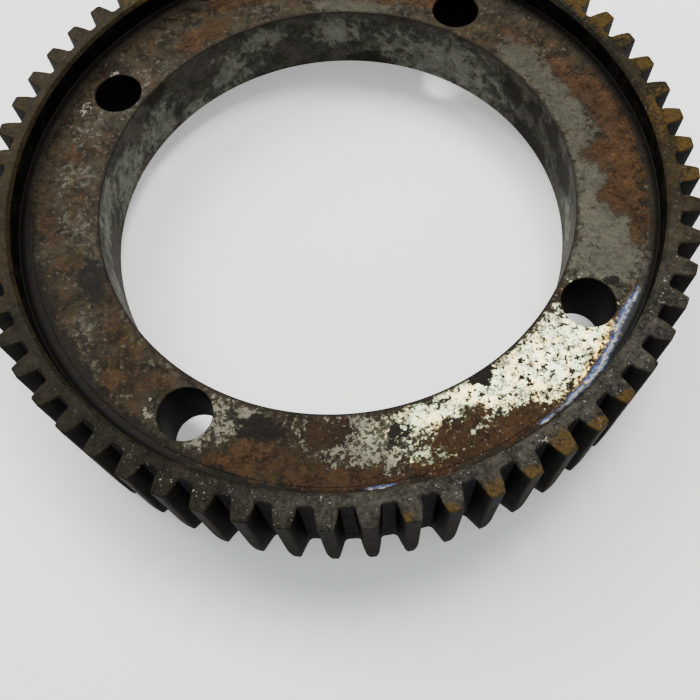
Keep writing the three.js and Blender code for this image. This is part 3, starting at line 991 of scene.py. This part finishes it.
def taper_pin():
    low, high = (corner.z for corner in box_mm("plug_taper_pin"))
    corners = [(0, low, 0), (PIN_R[0], low, 0.3), (PIN_R[1], high, 0.3), (0, high, 0)]
    profile = rounded(corners, closed=False)
    place = upright_place(PIN_CIRCLE_R, PLUG_ANGLE)
    pin = spun("plug_taper_pin_fine", profile, SMALL_FACETS, place, materials=[PLUG_STEEL])
    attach(pin, "inner_ring")
    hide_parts("plug_taper_pin")


def grease_nipple(side, angle):
    """A hexagon with chamfered corners on a plain stem, with a throat through both."""
    name = f"grease_nipple_{side}"
    place = radial_place(angle, RACE_Z)
    back = BORE_R + 4.1
    face = back - 3
    head = [(0, face), (4.4, face), (4.4, back), (0, back)]
    hexagon = spun(f"{name}_fine", head, 6, place)
    chamfer = [(0, face), (3.5, face), (4.5, face + 0.55), (4.5, back - 0.3), (4.0, back), (0, back)]
    combine(hexagon, [spun("chamfer", chamfer, HOLE_FACETS, place)], "INTERSECT")
    corners = [
        (0, face - 0.9, 0),
        (1.7, face - 0.9, 0.35),
        (2.2, face + 0.1, 0.3),
        (2.2, back - 0.5, 0),
        (2.7, back - 0.5, 0),
        (2.7, back + 6.6, 0.5),
        (0, back + 6.6, 0),
    ]
    stem = rounded(corners, steps=3, closed=False)
    combine(hexagon, [spun("stem", stem, HOLE_FACETS, place)], "UNION")
    throat = [(0, face - 1.2), (1.1, face - 1.2), (0.6, face - 0.5), (0.6, back + 8), (0, back + 8)]
    combine(hexagon, [spun("throat", throat, 24, place)])
    finish_surface(hexagon, [BRASS])
    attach(hexagon, "inner_ring")
    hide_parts(name)


# ---- Seals --------------------------------------------------------------------------------------


def upper_seal():
    """A lip that curves up from the inner ring's shoulder to the outer ring's wall, held in its groove."""
    low, high, depth = SEAL_GROOVE
    lip_r = SHOULDER_R + 0.08
    out_r = WALL_R - CLEARANCE
    heel = out_r + depth
    corners = [
        (lip_r, RING_HIGH - 1.2, 0.15),
        (lip_r + 1.6, low + 0.1, 0.3),
        (heel, low + 0.1, 0.2),
        (heel, high - 0.1, 0.2),
        (out_r, high - 0.1, 0.1),
        (out_r, RING_HIGH + 2.6, 0.15),
        (out_r - 0.5, RING_HIGH + 2.4, 0.2),
        (out_r - 1.5, RING_HIGH + 0.25, 2.2),
        (lip_r, RING_HIGH - CLEARANCE, 0.05),
    ]
    seal = turned("upper_seal_fine", rounded(corners, steps=6), materials=[SEAL])
    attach(seal, "outer_ring")
    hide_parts("upper_seal")


def lower_seal():
    """A lip that stands on the outer ring's flange and reaches up to the inner ring's underside."""
    foot = FLANGE_TOP + 0.05
    heel = foot + LOWER_SEAL["heel"]
    lip = RING_LOW + 0.92
    corners = [
        (LOWER_SEAL["inner"], foot, 0.2),
        (LOWER_SEAL["outer"], foot, 0.2),
        (LOWER_SEAL["outer"], heel, 0.3),
        (LOWER_SEAL["lip"], lip, 0.15),
        (LOWER_SEAL["inner"], lip, 0.15),
    ]
    seal = turned("lower_seal_fine", rounded(corners), materials=[SEAL])
    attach(seal, "outer_ring")
    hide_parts("lower_seal")


# ---- Balls and cage -----------------------------------------------------------------------------


def ball(index):
    angle = TAU * (index + 0.5) / BALLS
    node = f"ball_{index + 1:02d}"
    profile = []
    steps = 14
    for i in range(steps + 1):
        a = math.pi * i / steps
        profile.append((BALL_R * math.sin(a), -BALL_R * math.cos(a)))
    place = Matrix.Translation((BALL_CIRCLE_R * math.cos(angle), BALL_CIRCLE_R * math.sin(angle), RACE_Z))
    sphere = spun(f"{node}_fine", profile, 2 * steps, place, materials=[BALL_STEEL])
    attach(sphere, "ball_cage")
    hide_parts(node)


def cage_segment(index):
    """A curved strip of the cage, with a round pocket for each of its balls."""
    node = f"cage_segment_{index + 1}"
    half_thick, half_high = CAGE_HALF
    signs = [(-1, -1), (1, -1), (1, 1), (-1, 1)]
    corners = [(BALL_CIRCLE_R + i * half_thick, RACE_Z + j * half_high, 0.3) for i, j in signs]
    start = TAU * index / CAGE_SEGMENTS + CAGE_GAP / 2
    strip = turned(f"{node}_fine", rounded(corners, steps=3), 56, start, TAU / CAGE_SEGMENTS - CAGE_GAP)
    cutters = []
    for i in range(BALLS // CAGE_SEGMENTS):
        angle = TAU * (index * BALLS // CAGE_SEGMENTS + i + 0.5) / BALLS
        start_r, end_r = BALL_CIRCLE_R - 3, BALL_CIRCLE_R + 3
        profile = [(0, start_r), (POCKET_R, start_r), (POCKET_R, end_r), (0, end_r)]
        cutters.append(spun(f"pocket_{i}", profile, 40, radial_place(angle, RACE_Z)))
    combine(strip, cutters)
    finish_surface(strip, [NYLON])
    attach(strip, "ball_cage")
    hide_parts(node)


outer_ring()
inner_ring()
loading_plug()
taper_pin()
grease_nipple("left", PLUG_ANGLE - NIPPLE_OFFSET)
grease_nipple("right", PLUG_ANGLE + NIPPLE_OFFSET)
upper_seal()
lower_seal()
for segment in range(CAGE_SEGMENTS):
    cage_segment(segment)
for number in range(BALLS):
    ball(number)

# ---- Floor, light and camera --------------------------------------------------------------------


def floor():
    """A pale floor just under the bearing, which gives a little light of its own as a light tent does."""
    s = Surface("pale_floor")
    s.set(colour=(0.93, 0.93, 0.92), rough=0.9, specular=0.1)
    s.shader.inputs["Emission Color"].default_value = (1.0, 1.0, 1.0, 1.0)
    s.shader.inputs["Emission Strength"].default_value = 0.4
    half, drop = 4000, -0.2
    verts = [(-half, -half, drop), (half, -half, drop), (half, half, drop), (-half, half, drop)]
    mesh = bpy.data.meshes.new("floor")
    mesh.from_pydata([Vector(v) * MM for v in verts], [], [(0, 1, 2, 3)])
    mesh.materials.append(s.material)
    plane = bpy.data.objects.new("floor", mesh)
    bpy.context.scene.collection.objects.link(plane)


def softbox(name, place, aim, size, power):
    """A square lamp at a place, facing a point, both in metres."""
    light = bpy.data.lights.new(name, "AREA")
    light.shape = "SQUARE"
    light.size = size
    light.energy = power
    lamp = bpy.data.objects.new(name, light)
    lamp.location = place
    lamp.rotation_euler = (Vector(aim) - Vector(place)).to_track_quat("-Z", "Y").to_euler()
    bpy.context.scene.collection.objects.link(lamp)


def camera():
    """A camera above the near teeth that looks down across the ring, turned a little about its own axis."""
    place = Vector((-31.07, -171.39, 282.48)) * MM
    heading, dip, roll = math.radians(9.94), math.radians(65.73), math.radians(-6.28)
    level = math.cos(dip)
    forward = Vector((math.sin(heading) * level, math.cos(heading) * level, -math.sin(dip)))
    right = forward.cross(Vector((0, 0, 1))).normalized()
    up = right.cross(forward)
    tilted_right = math.cos(roll) * right + math.sin(roll) * up
    tilted_up = math.cos(roll) * up - math.sin(roll) * right
    data = bpy.data.cameras.new("camera")
    data.sensor_width = 36
    data.lens = 42.12
    data.clip_start = 0.01
    obj = bpy.data.objects.new("camera", data)
    axes = Matrix((tilted_right, tilted_up, -forward)).transposed()
    obj.matrix_world = Matrix.Translation(place) @ axes.to_4x4()
    bpy.context.scene.collection.objects.link(obj)
    bpy.context.scene.camera = obj


def studio():
    """Soft, nearly white light from all round."""
    world = bpy.data.worlds.new("studio")
    world.use_nodes = True
    background = world.node_tree.nodes["Background"]
    background.inputs["Color"].default_value = (0.96, 0.98, 1.0, 1.0)
    background.inputs["Strength"].default_value = 0.4
    bpy.context.scene.world = world


floor()
studio()
softbox("key", (0.29, 0.20, 0.87), (0.041, -0.088, 0.04), 0.34, 8)
softbox("fill", (-0.6, 1.3, 1.5), (0, 0, 0), 1.4, 60)
camera()
